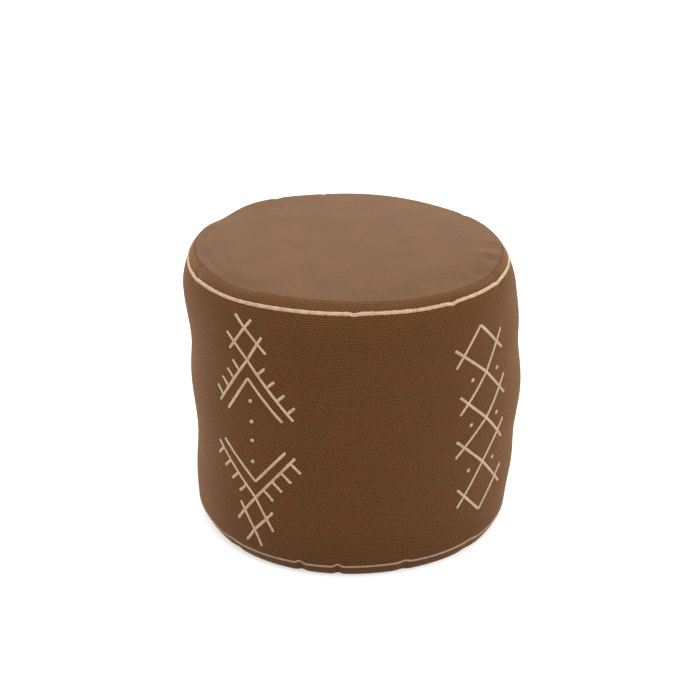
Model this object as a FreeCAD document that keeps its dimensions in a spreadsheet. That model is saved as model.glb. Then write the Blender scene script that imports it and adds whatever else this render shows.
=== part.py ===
"""A drum pouf: a woven side band and a plain canvas top, sewn into a round cover that has a zip in its base,
is decorated with satin-stitch embroidery, and holds a bag of polystyrene beads.

Millimetres, +Z up, the origin on the floor at the middle of the base. The zip runs along X. The outline is
a hem arc at the bottom, a nearly straight barrel arc and a shoulder arc, and every cloth layer follows it at
its own inset. Angles on the hem and shoulder arcs are counted from the horizontal."""

import FreeCAD, Part
import Sketcher
import math
import os

DRIVING = {
    # outline of the drum
    "HemCentreRadius": 171,
    "HemRadius": 47,
    "HemSeamAngle": 38,
    "BarrelRadius": 6130,
    "ShoulderCentreRadius": 135,
    "ShoulderCentreHeight": 335,
    "ShoulderRadius": 90,
    "TopSeamAngle": 35,
    "CrownHeight": 391.6,
    "OuterReach": 260,
    "CutMargin": 1,
    # cover cloths and their seams
    "BandThickness": 1.8,
    "CanvasThickness": 1.2,
    "BaseThickness": 1.4,
    "BaseEdgeRun": 3.4,
    "BaseBendShare": 0.4,
    "TopAllowanceAngle": 8,
    "HemAllowanceAngle": 12,
    "SideSeamAngle": 135,
    "SideAllowanceAngle": 6,
    "SideSeamGap": 0.8,
    "SeamThreadRadius": 0.4,
    "SeamThreadPlay": 0.02,
    "TopThreadLift": 0.52,
    "BaseThreadDrop": 0.56,
    "BaseThreadInset": 0.04,
    # liner bag and filling
    "LinerThickness": 0.8,
    "LinerInset": 5.6,
    "LinerFloor": 2,
    "LinerCrownDrop": 1.6,
    "LinerGrooveGrowth": 5,
    "FillPlay": 0.2,
    # embroidery
    "StitchHeight": 0.8,
    "StrokeWidth": 3.6,
    "DotRadius": 2.2,
    "TopBorderAngle": 26.4,
    "TopBorderSpread": 3.2,
    "LowBorderAngle": 15.3,
    "LowBorderSpread": 4.6,
    # groove in the base that the zip lies in, and the slot that its slider runs in
    "GrooveLength": 344,
    "GrooveWidth": 44,
    "GrooveDepth": 8.6,
    "GrooveNarrowing": 10,
    "SlotLength": 312,
    "SlotWidth": 13,
    # zip
    "TapeLength": 320,
    "TapeOuter": 13.2,
    "TapeInner": 3,
    "TapeThickness": 0.6,
    "TapeStitchOffset": 10,
    "ToothPitch": 2.9,
    "ToothLength": 1.3,
    "ToothReach": 0.8,
    "ToothRoot": 1.4,
    "ToothCount": 96,
    "ChainStart": -137.5,
    "ChainThickness": 2.2,
    "StopLength": 2,
    "StopGap": 0.5,
    "SliderPlace": -138,
    "SliderLength": 13,
    "SliderWidth": 11,
    "SliderCorner": 2.4,
    "SliderPlate": 1.1,
    "SliderPlay": 0.4,
    "FlangeWidth": 1.1,
    "FlangePlay": 0.3,
    "WedgeSetback": 0.6,
    "WedgeNoseWidth": 2.2,
    "WedgeTailWidth": 0.4,
    "BridgeLength": 8.2,
    "BridgeWidth": 2,
    "BridgePost": 1.2,
    "BridgeGap": 2,
    "BridgeBeam": 1,
    "PullerLength": 20,
    "PullerWidth": 6.8,
    "PullerThickness": 1.2,
    "PullerCorner": 1.6,
    "EyeLength": 4.4,
    "EyeWidth": 2.8,
}

DOC = FreeCAD.newDocument("DrumPouf")
SHEET = DOC.addObject("Spreadsheet::Sheet", "Sizes")
SUBPARTS = []

FRONT, REAR = -1, 1


def fill_sheet():
    """Writes the driving dimensions to the sheet, one row each."""
    for row, (alias, number) in enumerate(DRIVING.items(), start=1):
        SHEET.set(f"A{row}", alias)
        SHEET.set(f"B{row}", str(number))
        SHEET.setAlias(f"B{row}", alias)
    DOC.recompute()


class Size:
    """A number together with the formula that binds it to the sheet."""

    def __init__(self, number, formula=None):
        self.number = float(number)
        self.formula = formula or f"{float(number):.6g}"

    def __add__(self, other):
        other = as_size(other)
        return Size(self.number + other.number, f"({self.formula} + {other.formula})")

    def __sub__(self, other):
        other = as_size(other)
        return Size(self.number - other.number, f"({self.formula} - {other.formula})")

    def __mul__(self, other):
        other = as_size(other)
        return Size(self.number * other.number, f"({self.formula} * {other.formula})")

    def __neg__(self):
        return Size(-self.number, f"(-1 * {self.formula})")


def as_size(value):
    return value if isinstance(value, Size) else Size(value)


def dim(alias):
    """A driving dimension, read from the sheet."""
    return Size(SHEET.get(alias), f"Sizes.{alias}")


def cosine(angle):
    return Size(math.cos(math.radians(angle.number)), f"cos({angle.formula})")


def sine(angle):
    return Size(math.sin(math.radians(angle.number)), f"sin({angle.formula})")


ZERO = Size(0)


# ------------------------------------------------------------------ sketches and features


def new_body(label):
    """A body that is one sub-part of the pouf."""
    body = DOC.addObject("PartDesign::Body", label)
    body.Label = label
    SUBPARTS.append(body)
    return body


def new_sketch(body, role, height=ZERO):
    """A sketch on one of the body's own origin planes, lifted off it by a height."""
    sketch = body.newObject("Sketcher::SketchObject", f"{body.Label}_sketch")
    plane = next(f for f in body.Origin.OriginFeatures if f.Role == role)
    sketch.AttachmentSupport = [(plane, "")]
    sketch.MapMode = "FlatFace"
    sketch.setExpression(".AttachmentOffset.Base.z", height.formula)
    return sketch


def hold(sketch, kind, vertex, target):
    """Holds one coordinate of a vertex at a formula, or on the sketch's axis where it is nought."""
    axis = {"DistanceX": -2, "DistanceY": -1}[kind]
    if target.number == 0:
        sketch.addConstraint(Sketcher.Constraint("PointOnObject", *vertex, axis))
        return
    index = sketch.addConstraint(Sketcher.Constraint(kind, -1, 1, *vertex, target.number))
    sketch.setExpression(f"Constraints[{index}]", target.formula)


def arc_between(start, end, radius):
    """The arc from start to end with its centre on the left for a positive radius, on the right for a
    negative one. The geometry always runs anticlockwise."""
    chord = end - start
    left = FreeCAD.Vector(-chord.y, chord.x, 0).normalize()
    offset = math.sqrt(radius**2 - (chord.Length / 2) ** 2)
    centre = (start + end) * 0.5 + left * math.copysign(offset, radius)
    circle = Part.Circle(centre, FreeCAD.Vector(0, 0, 1), abs(radius))
    low, high = (start, end) if radius > 0 else (end, start)
    return Part.ArcOfCircle(circle, circle.parameter(low), circle.parameter(high))


def draw_loop(sketch, corners, arcs=None):
    """Draws a closed loop through corners whose coordinates are held. arcs gives the radius of the arc that
    leaves a corner, by the corner's number: positive where its centre is on the left."""
    arcs = arcs or {}
    first = sketch.GeometryCount
    points = [FreeCAD.Vector(x.number, y.number, 0) for x, y in corners]
    tails, heads = [], []
    for i, start in enumerate(points):
        end = points[(i + 1) % len(points)]
        backwards = i in arcs and arcs[i].number < 0
        tails.append((first + i, 2 if backwards else 1))
        heads.append((first + i, 1 if backwards else 2))
        if i in arcs:
            sketch.addGeometry(arc_between(start, end, arcs[i].number), False)
        else:
            sketch.addGeometry(Part.LineSegment(start, end), False)
    for i, (x, y) in enumerate(corners):
        sketch.addConstraint(Sketcher.Constraint("Coincident", *heads[i - 1], *tails[i]))
        hold(sketch, "DistanceX", tails[i], x)
        hold(sketch, "DistanceY", tails[i], y)
    for i, radius in arcs.items():
        index = sketch.addConstraint(Sketcher.Constraint("Radius", first + i, abs(radius.number)))
        sketch.setExpression(f"Constraints[{index}]", f"abs({radius.formula})")


def round_bar(body, centre, radius, length):
    """Adds a round bar along Y, with its middle on the XZ plane at a centre."""
    sketch = new_sketch(body, "XZ_Plane")
    middle = FreeCAD.Vector(centre[0].number, centre[1].number, 0)
    sketch.addGeometry(Part.Circle(middle, FreeCAD.Vector(0, 0, 1), radius.number), False)
    hold(sketch, "DistanceX", (0, 3), centre[0])
    hold(sketch, "DistanceY", (0, 3), centre[1])
    index = sketch.addConstraint(Sketcher.Constraint("Radius", 0, radius.number))
    sketch.setExpression(f"Constraints[{index}]", radius.formula)
    feature = body.newObject("PartDesign::Pad", f"{body.Label}_bar")
    feature.Profile = sketch
    feature.SideType = "Symmetric"
    feature.setExpression("Length", length.formula)


def rectangle(left, right, low, high):
    return [(left, low), (right, low), (right, high), (left, high)]


def clipped_rectangle(left, right, low, high, corner):
    """A rectangle with its corners cut off."""
    return [
        (left + corner, low),
        (right - corner, low),
        (right, low + corner),
        (right, high - corner),
        (right - corner, high),
        (left + corner, high),
        (left, high - corner),
        (left, low + corner),
    ]


def revolve(body, sketch, angle=360, reverse=False):
    """Turns a section round the body's upright axis."""
    feature = body.newObject("PartDesign::Revolution", f"{body.Label}_turn")
    feature.Profile = sketch
    feature.ReferenceAxis = (sketch, ["V_Axis"])
    feature.Angle = angle
    feature.Reversed = reverse
    return feature


def slab(body, corners, low, high):
    """Adds an upright prism of an outline between two heights."""
    sketch = new_sketch(body, "XY_Plane", low)
    draw_loop(sketch, corners)
    feature = body.newObject("PartDesign::Pad", f"{body.Label}_slab")
    feature.Profile = sketch
    feature.setExpression("Length", (high - low).formula)
    return feature


def cut_slab(body, corners, low, high):
    """Cuts an upright prism of an outline between two heights."""
    sketch = new_sketch(body, "XY_Plane", low)
    draw_loop(sketch, corners)
    feature = body.newObject("PartDesign::Pocket", f"{body.Label}_cut")
    feature.Profile = sketch
    feature.Reversed = True
    feature.setExpression("Length", (high - low).formula)


def loft(body, kind, low_section, high_section):
    """A straight-sided loft between two outlines, each given with its height."""
    sketches = []
    for corners, height in (low_section, high_section):
        sketch = new_sketch(body, "XY_Plane", height)
        draw_loop(sketch, corners)
        sketches.append(sketch)
    feature = body.newObject(kind, f"{body.Label}_loft")
    feature.Profile = sketches[0]
    feature.Sections = [sketches[1]]
    feature.Ruled = True


# ------------------------------------------------------------------ the drum's outline


def hem_height():
    return dim("HemRadius") * sine(dim("HemSeamAngle"))


def hem_point(inset, angle):
    """A point on the hem arc, at an angle below its centre."""
    reach = dim("HemRadius") - inset
    return dim("HemCentreRadius") + reach * cosine(angle), hem_height() - reach * sine(angle)


def shoulder_point(inset, angle):
    """A point on the shoulder arc, at an angle above its centre."""
    reach = dim("ShoulderRadius") - inset
    return (
        dim("ShoulderCentreRadius") + reach * cosine(angle),
        dim("ShoulderCentreHeight") + reach * sine(angle),
    )


def outline_points(inset):
    """The hem seam, the two ends of the barrel and the top seam, at an inset from the outer surface."""
    return [
        hem_point(inset, dim("HemSeamAngle")),
        hem_point(inset, ZERO),
        shoulder_point(inset, ZERO),
        shoulder_point(inset, dim("TopSeamAngle")),
    ]


def outline_radii(inset):
    return [dim("HemRadius") - inset, dim("BarrelRadius") - inset, dim("ShoulderRadius") - inset]


def tube_sketch(body, inset, thickness):
    """The section of a tube of cloth from the base seam to the top seam."""
    inner = inset + thickness
    out, back = outline_radii(inset), outline_radii(inner)
    sketch = new_sketch(body, "XZ_Plane")
    draw_loop(
        sketch,
        outline_points(inset) + outline_points(inner)[::-1],
        {0: out[0], 1: out[1], 2: out[2], 4: -back[2], 5: -back[1], 6: -back[0]},
    )
    return sketch


def strip_sketch(body, point, radius, inset, thickness, start, end):
    """The section of a strip that runs up the hem or the shoulder between two angles."""
    inner = inset + thickness
    sketch = new_sketch(body, "XZ_Plane")
    draw_loop(
        sketch,
        [point(inset, start), point(inset, end), point(inner, end), point(inner, start)],
        {0: radius - inset, 2: inner - radius},
    )
    return sketch


def shoulder_strip(body, inset, thickness, low, high):
    return strip_sketch(body, shoulder_point, dim("ShoulderRadius"), inset, thickness, low, high)


def hem_strip(body, inset, thickness, low, high):
    """low and high are angles below the arc's centre, so the lower end has the greater angle."""
    return strip_sketch(body, hem_point, dim("HemRadius"), inset, thickness, low, high)


def dome_radius(edge, crown):
    """The radius of a dome whose top is on the axis and whose rim passes through an edge point."""
    across, drop = edge[0], crown - edge[1]
    number = (across.number**2 + drop.number**2) / (2 * drop.number)
    return Size(number, f"(({across.formula})^2 + ({drop.formula})^2) / (2 * {drop.formula})")


# ------------------------------------------------------------------ the cover


def side_band():
    """One strip of woven cloth with its edges folded in at both seams and a seam where its ends meet."""
    body = new_body("side_band")
    cloth = dim("BandThickness")
    seam, hem = dim("TopSeamAngle"), dim("HemSeamAngle")
    revolve(body, tube_sketch(body, ZERO, cloth))
    revolve(body, shoulder_strip(body, cloth, cloth, seam - dim("TopAllowanceAngle"), seam))
    revolve(body, hem_strip(body, cloth, cloth, hem, hem - dim("HemAllowanceAngle")))
    allowances = revolve(body, tube_sketch(body, cloth * 0.5, cloth * 1.5))
    allowances.Midplane = True
    allowances.setExpression("Angle", dim("SideAllowanceAngle").formula)
    half_gap = dim("SideSeamGap") * 0.5
    gap = rectangle(dim("HemCentreRadius"), dim("OuterReach"), -half_gap, half_gap)
    cut_slab(body, gap, -dim("CutMargin"), dim("CrownHeight"))
    turn_to_side_seam(body)


def side_seam_thread():
    """The sewing thread that shows between the band's two folded ends."""
    body = new_body("side_seam_thread")
    radius = dim("SeamThreadRadius")
    sketch = tube_sketch(body, radius, radius * 2)
    feature = body.newObject("PartDesign::Pad", "side_seam_thread_run")
    feature.Profile = sketch
    feature.setExpression("Length", (dim("SideSeamGap") - dim("SeamThreadPlay") * 2).formula)
    feature.SideType = "Symmetric"
    turn_to_side_seam(body)


def turn_to_side_seam(body):
    """Turns a body made at +X to the place of the side seam."""
    body.Placement = FreeCAD.Placement(
        FreeCAD.Vector(), FreeCAD.Rotation(FreeCAD.Vector(0, 0, 1), dim("SideSeamAngle").number)
    )


def lid(label, inset, thickness, crown):
    """A round top cloth: a shallow dome with its edge turned down inside the tube that it closes."""
    body = new_body(label)
    inner = inset + thickness
    seam = dim("TopSeamAngle")
    fold_end = seam - dim("TopAllowanceAngle")
    edge, inner_edge = shoulder_point(inset, seam), shoulder_point(inner, seam)
    low_crown = crown - thickness
    sketch = new_sketch(body, "XZ_Plane")
    draw_loop(
        sketch,
        [
            (ZERO, crown),
            edge,
            shoulder_point(inset, fold_end),
            shoulder_point(inner, fold_end),
            inner_edge,
            (ZERO, low_crown),
        ],
        {
            0: -dome_radius(edge, crown),
            1: inset - dim("ShoulderRadius"),
            3: dim("ShoulderRadius") - inner,
            4: dome_radius(inner_edge, low_crown),
        },
    )
    revolve(body, sketch)


def floor_sketch(body, inset, thickness, level):
    """The section of a flat round cloth at a level, with its edge turned up inside the tube it closes."""
    inner = inset + thickness
    hem = dim("HemSeamAngle")
    fold_end = hem - dim("HemAllowanceAngle")
    flat = hem_point(inset, hem)[0] - dim("BaseEdgeRun")
    sketch = new_sketch(body, "XZ_Plane")
    draw_loop(
        sketch,
        [
            (ZERO, level),
            (flat, level),
            hem_point(inset, hem),
            hem_point(inset, fold_end),
            hem_point(inner, fold_end),
            hem_point(inner, hem),
            (flat - thickness * dim("BaseBendShare"), level + thickness),
            (ZERO, level + thickness),
        ],
        {2: dim("HemRadius") - inset, 4: inner - dim("HemRadius")},
    )
    return sketch


def groove_sections(growth, level, front, rear):
    """The foot and the roof of the zip's groove, grown outwards and upwards, as a foot at a level and a roof.
    front and rear say whether the groove's sloping front and rear walls are part of it."""
    narrowing = dim("GrooveNarrowing")
    half_length = dim("GrooveLength") * 0.5 + growth
    half_width = dim("GrooveWidth") * 0.5 + growth
    roof = dim("GrooveDepth") + growth
    sections = []
    for height, inset in ((level, ZERO), (roof, narrowing)):
        low = inset - half_width if front else ZERO
        high = half_width - inset if rear else ZERO
        corners = rectangle(inset - half_length, half_length - inset, low, high)
        sections.append((corners, height))
    return sections


def base_panel(label, side):
    """One half of the base, on one side of the zip, with its half of the groove and of the slot."""
    body = new_body(label)
    thickness = dim("BaseThickness")
    front, rear = side == FRONT, side == REAR
    revolve(body, floor_sketch(body, dim("BandThickness") * 2, thickness, ZERO), 180, reverse=front)
    loft(body, "PartDesign::AdditiveLoft", *groove_sections(thickness, ZERO, front, rear))
    loft(body, "PartDesign::SubtractiveLoft", *groove_sections(ZERO, ZERO, front, rear))
    half_slot = dim("SlotWidth") * 0.5
    half_length = dim("SlotLength") * 0.5
    low, high = (-half_slot, ZERO) if front else (ZERO, half_slot)
    depth, margin = dim("GrooveDepth"), dim("CutMargin")
    slot = rectangle(-half_length, half_length, low, high)
    cut_slab(body, slot, depth - margin, depth + thickness + margin)


def seam_thread(label, ring_radius, height):
    """A ring of thread in the angle between the band's folded edge and the cloth that it meets."""
    ring = DOC.addObject("Part::Torus", label)
    ring.Label = label
    ring.setExpression("Radius1", ring_radius.formula)
    ring.setExpression("Radius2", dim("SeamThreadRadius").formula)
    ring.setExpression(".Placement.Base.z", height.formula)
    SUBPARTS.append(ring)


def seam_threads():
    fold = dim("BandThickness") * 2
    radius, height = shoulder_point(fold, dim("TopSeamAngle"))
    seam_thread("top_seam_thread", radius, height + dim("TopThreadLift"))
    radius, height = hem_point(fold, dim("HemSeamAngle"))
    seam_thread("base_seam_thread", radius - dim("BaseThreadInset"), height - dim("BaseThreadDrop"))


# ------------------------------------------------------------------ liner and filling


def liner_side():
    body = new_body("liner_side")
    revolve(body, tube_sketch(body, dim("LinerInset"), dim("LinerThickness")))


def liner_top():
    thickness = dim("LinerThickness")
    lid("liner_top", dim("LinerInset") + thickness, thickness, dim("CrownHeight") - dim("LinerCrownDrop"))


def liner_base():
    """The bag's floor, which arches over the zip."""
    body = new_body("liner_base")
    thickness, level, growth = dim("LinerThickness"), dim("LinerFloor"), dim("LinerGrooveGrowth")
    revolve(body, floor_sketch(body, dim("LinerInset") + thickness, thickness, level))
    outer = groove_sections(growth + thickness, level, True, True)
    loft(body, "PartDesign::AdditiveLoft", *outer)
    loft(body, "PartDesign::SubtractiveLoft", *groove_sections(growth, level, True, True))


def bead_fill():
    """The beads, as one solid that fills the bag."""
    body = new_body("bead_fill")
    thickness, play = dim("LinerThickness"), dim("FillPlay")
    inset = dim("LinerInset") + thickness * 2 + play
    level = dim("LinerFloor") + thickness + play
    crown = dim("CrownHeight") - dim("LinerCrownDrop") - thickness - play
    points, radii = outline_points(inset), outline_radii(inset)
    sketch = new_sketch(body, "XZ_Plane")
    draw_loop(
        sketch,
        [(ZERO, level), (points[0][0] - dim("BaseEdgeRun"), level), *points, (ZERO, crown)],
        {2: radii[0], 3: radii[1], 4: radii[2], 5: dome_radius(points[3], crown)},
    )
    revolve(body, sketch)
    growth = dim("LinerGrooveGrowth") + thickness + play
    loft(body, "PartDesign::SubtractiveLoft", *groove_sections(growth, level, True, True))


# ------------------------------------------------------------------ zip


def shelf_top():
    """The upper face of the base's shelf beside the slot, which the tapes lie on."""
    return dim("GrooveDepth") + dim("BaseThickness")


def zip_middle():
    """The height of the middle of the tapes and of the teeth."""
    return shelf_top() + dim("TapeThickness") * 0.5


def zip_tape(label, side):
    body = new_body(label)
    half_length = dim("TapeLength") * 0.5
    near, far = dim("TapeInner") * side, dim("TapeOuter") * side
    low, high = (far, near) if side == FRONT else (near, far)
    slab(body, rectangle(-half_length, half_length, low, high), shelf_top(), shelf_top() + dim("TapeThickness"))


def zip_chain(label, side):
    """A row of teeth on a bar along the edge of its tape; the two rows mesh half a pitch apart."""
    body = new_body(label)
    pitch, length, start = dim("ToothPitch"), dim("ToothLength"), dim("ChainStart")
    low, high = zip_middle() - dim("ChainThickness") * 0.5, zip_middle() + dim("ChainThickness") * 0.5
    root, inner, reach = dim("ToothRoot") * side, dim("TapeInner") * side, dim("ToothReach") * -side
    end = start + pitch * dim("ToothCount")
    bar = (inner, root) if side == FRONT else (root, inner)
    slab(body, rectangle(start, end, *bar), low, high)
    first = start + (pitch * 0.5 if side == REAR else ZERO)
    tooth_width = (root, reach) if side == FRONT else (reach, root)
    tooth = slab(body, rectangle(first, first + length, *tooth_width), low, high)
    teeth = body.newObject("PartDesign::LinearPattern", f"{label}_teeth")
    teeth.Originals = [tooth]
    along = next(f for f in body.Origin.OriginFeatures if f.Role == "X_Axis")
    teeth.Direction = (along, [""])
    teeth.Mode = "Spacing"
    teeth.setExpression("Offset", pitch.formula)
    teeth.setExpression("Occurrences", dim("ToothCount").formula)
    body.Tip = teeth


def zip_stops():
    """A clip on each tape just beyond the slider, and one across both rows at the far end."""
    low, high = zip_middle() - dim("ChainThickness") * 0.5, zip_middle() + dim("ChainThickness") * 0.5
    length, gap = dim("StopLength"), dim("StopGap")
    inner, root = dim("TapeInner"), dim("ToothRoot")
    end = dim("SliderPlace") - dim("SliderLength") * 0.5 - gap
    slab(new_body("zip_top_stop_front"), rectangle(end - length, end, -inner, -root), low, high)
    slab(new_body("zip_top_stop_rear"), rectangle(end - length, end, root, inner), low, high)
    start = dim("ChainStart") + dim("ToothPitch") * dim("ToothCount") + dim("ToothPitch")
    slab(new_body("zip_bottom_stop"), rectangle(start, start + length, -inner, inner), low, high)


def zip_stitch(label, side):
    """The line of stitching that holds a tape, seen under the shelf."""
    body = new_body(label)
    half_length = dim("SlotLength") * 0.5
    middle = dim("TapeStitchOffset") * side
    radius = dim("SeamThreadRadius")
    top = dim("GrooveDepth")
    slab(body, rectangle(-half_length, half_length, middle - radius, middle + radius), top - radius, top)


def zip_slider():
    """Two plates round the teeth, joined by a wedge at the nose, with flanges that hold the tapes' edges and
    a bridge below for the puller."""
    body = new_body("zip_slider")
    place, half_width = dim("SliderPlace"), dim("SliderWidth") * 0.5
    nose, tail = place - dim("SliderLength") * 0.5, place + dim("SliderLength") * 0.5
    plate, half_chain = dim("SliderPlate"), dim("ChainThickness") * 0.5 + dim("SliderPlay")
    inner_low, inner_high = zip_middle() - half_chain, zip_middle() + half_chain
    outline = clipped_rectangle(nose, tail, -half_width, half_width, dim("SliderCorner"))
    slab(body, outline, inner_low - plate, inner_low)
    wedge_start, wedge_end = nose + dim("WedgeSetback"), nose + dim("SliderCorner") * 2
    nose_half, tail_half = dim("WedgeNoseWidth") * 0.5, dim("WedgeTailWidth") * 0.5
    wedge = [
        (wedge_start, -nose_half),
        (wedge_end, -tail_half),
        (wedge_end, tail_half),
        (wedge_start, nose_half),
    ]
    slab(body, wedge, inner_low, inner_high)
    slab(body, outline, inner_high, inner_high + plate)
    slot_half = dim("TapeThickness") * 0.5 + dim("FlangePlay")
    for side in (FRONT, REAR):
        edges = sorted((half_width * side, (half_width - dim("FlangeWidth")) * side), key=lambda y: y.number)
        flange = rectangle(nose + dim("SliderCorner"), tail - dim("SliderCorner"), *edges)
        slab(body, flange, inner_low, zip_middle() - slot_half)
        slab(body, flange, zip_middle() + slot_half, inner_high)
    bridge_top = inner_low - plate
    half_bridge, half_beam = dim("BridgeLength") * 0.5, dim("BridgeWidth") * 0.5
    beam_top = bridge_top - dim("BridgeGap")
    post = dim("BridgePost")
    for start, end in (
        (place - half_bridge, place - half_bridge + post),
        (place + half_bridge - post, place + half_bridge),
    ):
        slab(body, rectangle(start, end, -half_beam, half_beam), beam_top, bridge_top)
    beam = rectangle(place - half_bridge, place + half_bridge, -half_beam, half_beam)
    slab(body, beam, beam_top - dim("BridgeBeam"), beam_top)


def zip_puller():
    """A flat tab with an eye that the slider's bridge passes through; the eye's round end bar is its pivot."""
    body = new_body("zip_puller")
    half_chain = dim("ChainThickness") * 0.5 + dim("SliderPlay")
    bridge_top = zip_middle() - half_chain - dim("SliderPlate")
    middle = bridge_top - dim("BridgeGap") * 0.5
    half_thickness = dim("PullerThickness") * 0.5
    half_width = dim("PullerWidth") * 0.5
    pivot = dim("SliderPlace")
    end, corner = pivot + dim("PullerLength"), dim("PullerCorner")
    outline = [
        (pivot, -half_width),
        (end - corner, -half_width),
        (end, corner - half_width),
        (end, half_width - corner),
        (end - corner, half_width),
        (pivot, half_width),
    ]
    slab(body, outline, middle - half_thickness, middle + half_thickness)
    round_bar(body, (pivot, middle), half_thickness, dim("PullerWidth"))
    eye_start = pivot + half_thickness
    half_eye = dim("EyeWidth") * 0.5
    eye = rectangle(eye_start, eye_start + dim("EyeLength"), -half_eye, half_eye)
    margin = dim("CutMargin")
    cut_slab(body, eye, middle - half_thickness - margin, middle + half_thickness + margin)


# ------------------------------------------------------------------ embroidery


def borders():
    """The two rings of satin stitch that lie on the band."""
    height = dim("StitchHeight")
    for label, strip, angle, spread in (
        ("top_border_embroidery", shoulder_strip, dim("TopBorderAngle"), dim("TopBorderSpread")),
        ("bottom_border_embroidery", hem_strip, dim("LowBorderAngle"), dim("LowBorderSpread")),
    ):
        body = new_body(label)
        half = spread * (0.5 if strip is shoulder_strip else -0.5)
        revolve(body, strip(body, -height, height, angle - half, angle + half))


def comb(first, step, tooth):
    """Four short parallel strokes at even steps along an arm."""
    strokes = []
    for i in range(4):
        x, z = first[0] + step[0] * i, first[1] + step[1] * i
        strokes.append([(x, z), (x + tooth[0], z + tooth[1])])
    return strokes


def chevron_motif():
    """The strokes and dots of the double chevron, across from its axis and up from the floor."""
    strokes = [
        # the crossed diamond on top, with the two long arms that leave it
        [(-22, 356), (26, 312)],
        [(4, 354), (-31, 307)],
        [(20, 334), (-2, 298), (-53, 227)],
        [(-35, 329), (-2, 298), (62, 226)],
        # the smaller chevron under the arms
        [(-38, 220), (-2, 273), (47, 222)],
        # the lower half, nearly a mirror image
        [(-59, 167), (3, 102), (29, 57)],
        [(63, 173), (4, 103), (-30, 60)],
        [(-47, 174), (4, 126), (50, 179)],
        [(-23, 89), (-2, 52), (9, 29)],
        [(29, 86), (-2, 52), (-17, 31)],
    ]
    strokes += comb((-15, 280.5), (-10.4, -14.9), (-11.5, 12))
    strokes += comb((12.5, 281.5), (13.4, -15.8), (11.5, 11))
    strokes += comb((-52, 157), (13, -14), (-11, -11))
    strokes += comb((55.5, 164.5), (-13.3, -15.9), (14.5, -13))
    return strokes, [(1, 242), (2, 213), (2, 186), (1, 155)]


def beyond(node, inner, tick):
    """A point a tick past a node, on the line that comes from the inner point."""
    dx, dz = node[0] - inner[0], node[1] - inner[1]
    length = math.hypot(dx, dz)
    return node[0] + dx * tick / length, node[1] + dz * tick / length


def lattice_motif(tick=19):
    """The strokes and dots of the column of four diamonds, whose sides run on past each side corner."""
    left = [(-46, 298), (-36, 229), (-39, 166), (-34, 92)]
    right = [(20, 298), (29, 231), (28, 167), (35, 95)]
    middle = [(-17, 333), (-2, 263), (0, 197), (-1, 132), (-1, 59)]
    strokes = []
    for corners in (left, right):
        for i, corner in enumerate(corners):
            for inner in (middle[i], middle[i + 1]):
                strokes.append([inner, beyond(corner, inner, tick)])
    dots = [(x, z) for x in (-29, 23) for z in (260, 196, 129)]
    return strokes, dots


def stroke_prisms(strokes, dots):
    """Upright bars and pins that stand out along -Y wherever the motif has a stroke or a dot."""
    width, dot = dim("StrokeWidth").number, dim("DotRadius").number
    reach = FreeCAD.Vector(0, -1, 0) * dim("OuterReach").number
    prisms = [Part.makeCylinder(dot, reach.Length, FreeCAD.Vector(x, 0, z), reach) for x, z in dots]
    for stroke in strokes:
        points = [FreeCAD.Vector(x, 0, z) for x, z in stroke]
        prisms += [Part.makeCylinder(width / 2, reach.Length, point, reach) for point in points]
        for start, end in zip(points, points[1:]):
            along = (end - start).normalize()
            side = FreeCAD.Vector(-along.z, 0, along.x) * (width / 2)
            outline = Part.makePolygon([start + side, end + side, end - side, start - side, start + side])
            prisms.append(Part.Face(outline).extrude(reach))
    return prisms


def motifs():
    """Two motifs, each made once at the front and repeated at its two places. The lattices lie a little
    short of a quarter turn from the chevrons, as hand work does."""
    layer = DOC.addObject("PartDesign::Body", "stitch_layer")
    height = dim("StitchHeight")
    revolve(layer, tube_sketch(layer, -height, height))
    DOC.recompute()
    for motif, places in (
        (chevron_motif, {"chevron_motif_front": 0, "chevron_motif_back": 180}),
        (lattice_motif, {"lattice_motif_right": 86, "lattice_motif_left": 266}),
    ):
        prisms = stroke_prisms(*motif())
        shape = prisms[0].multiFuse(prisms[1:]).common(layer.Shape)
        for label, turn in places.items():
            feature = DOC.addObject("Part::Feature", label)
            feature.Label = label
            feature.Shape = shape
            feature.Placement = FreeCAD.Placement(
                FreeCAD.Vector(), FreeCAD.Rotation(FreeCAD.Vector(0, 0, 1), turn)
            )
            SUBPARTS.append(feature)


# ------------------------------------------------------------------ the whole pouf


def build():
    fill_sheet()
    side_band()
    side_seam_thread()
    lid("top_panel", dim("BandThickness") * 2, dim("CanvasThickness"), dim("CrownHeight"))
    base_panel("base_panel_front", FRONT)
    base_panel("base_panel_rear", REAR)
    seam_threads()
    for end, side in (("front", FRONT), ("rear", REAR)):
        zip_tape(f"zip_tape_{end}", side)
        zip_chain(f"zip_chain_{end}", side)
        zip_stitch(f"zip_stitch_{end}", side)
    zip_stops()
    zip_slider()
    zip_puller()
    liner_side()
    liner_top()
    liner_base()
    bead_fill()
    borders()
    motifs()
    DOC.recompute()


def check():
    for item in DOC.Objects:
        if {"Invalid", "Error"} & set(item.State):
            raise RuntimeError(f"{item.Label} failed: {item.State}")
    for part in SUBPARTS:
        if part.Shape.isNull() or not part.Shape.isValid():
            raise RuntimeError(f"{part.Label} has no valid shape")


def export():
    os.makedirs("parts", exist_ok=True)
    for part in SUBPARTS:
        part.Shape.exportStep(f"parts/{part.Label}.step")
        volume = part.Shape.Volume
        print(f"{part.Label}: {volume:.1f} mm3, {len(part.Shape.Solids)} solid(s)")


build()
check()
export()
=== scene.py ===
"""The looks of the drum pouf: a woven side band and a canvas top pulled tight over a bead filling, raised
satin-stitch embroidery, and a zip in the base. Metres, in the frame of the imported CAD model. Angles round
the drum are counted from the front (-Y) towards the right (+X), in radians, and a place on the band is an
angle and a run, the distance up its outline from the base seam."""

import math

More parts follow.
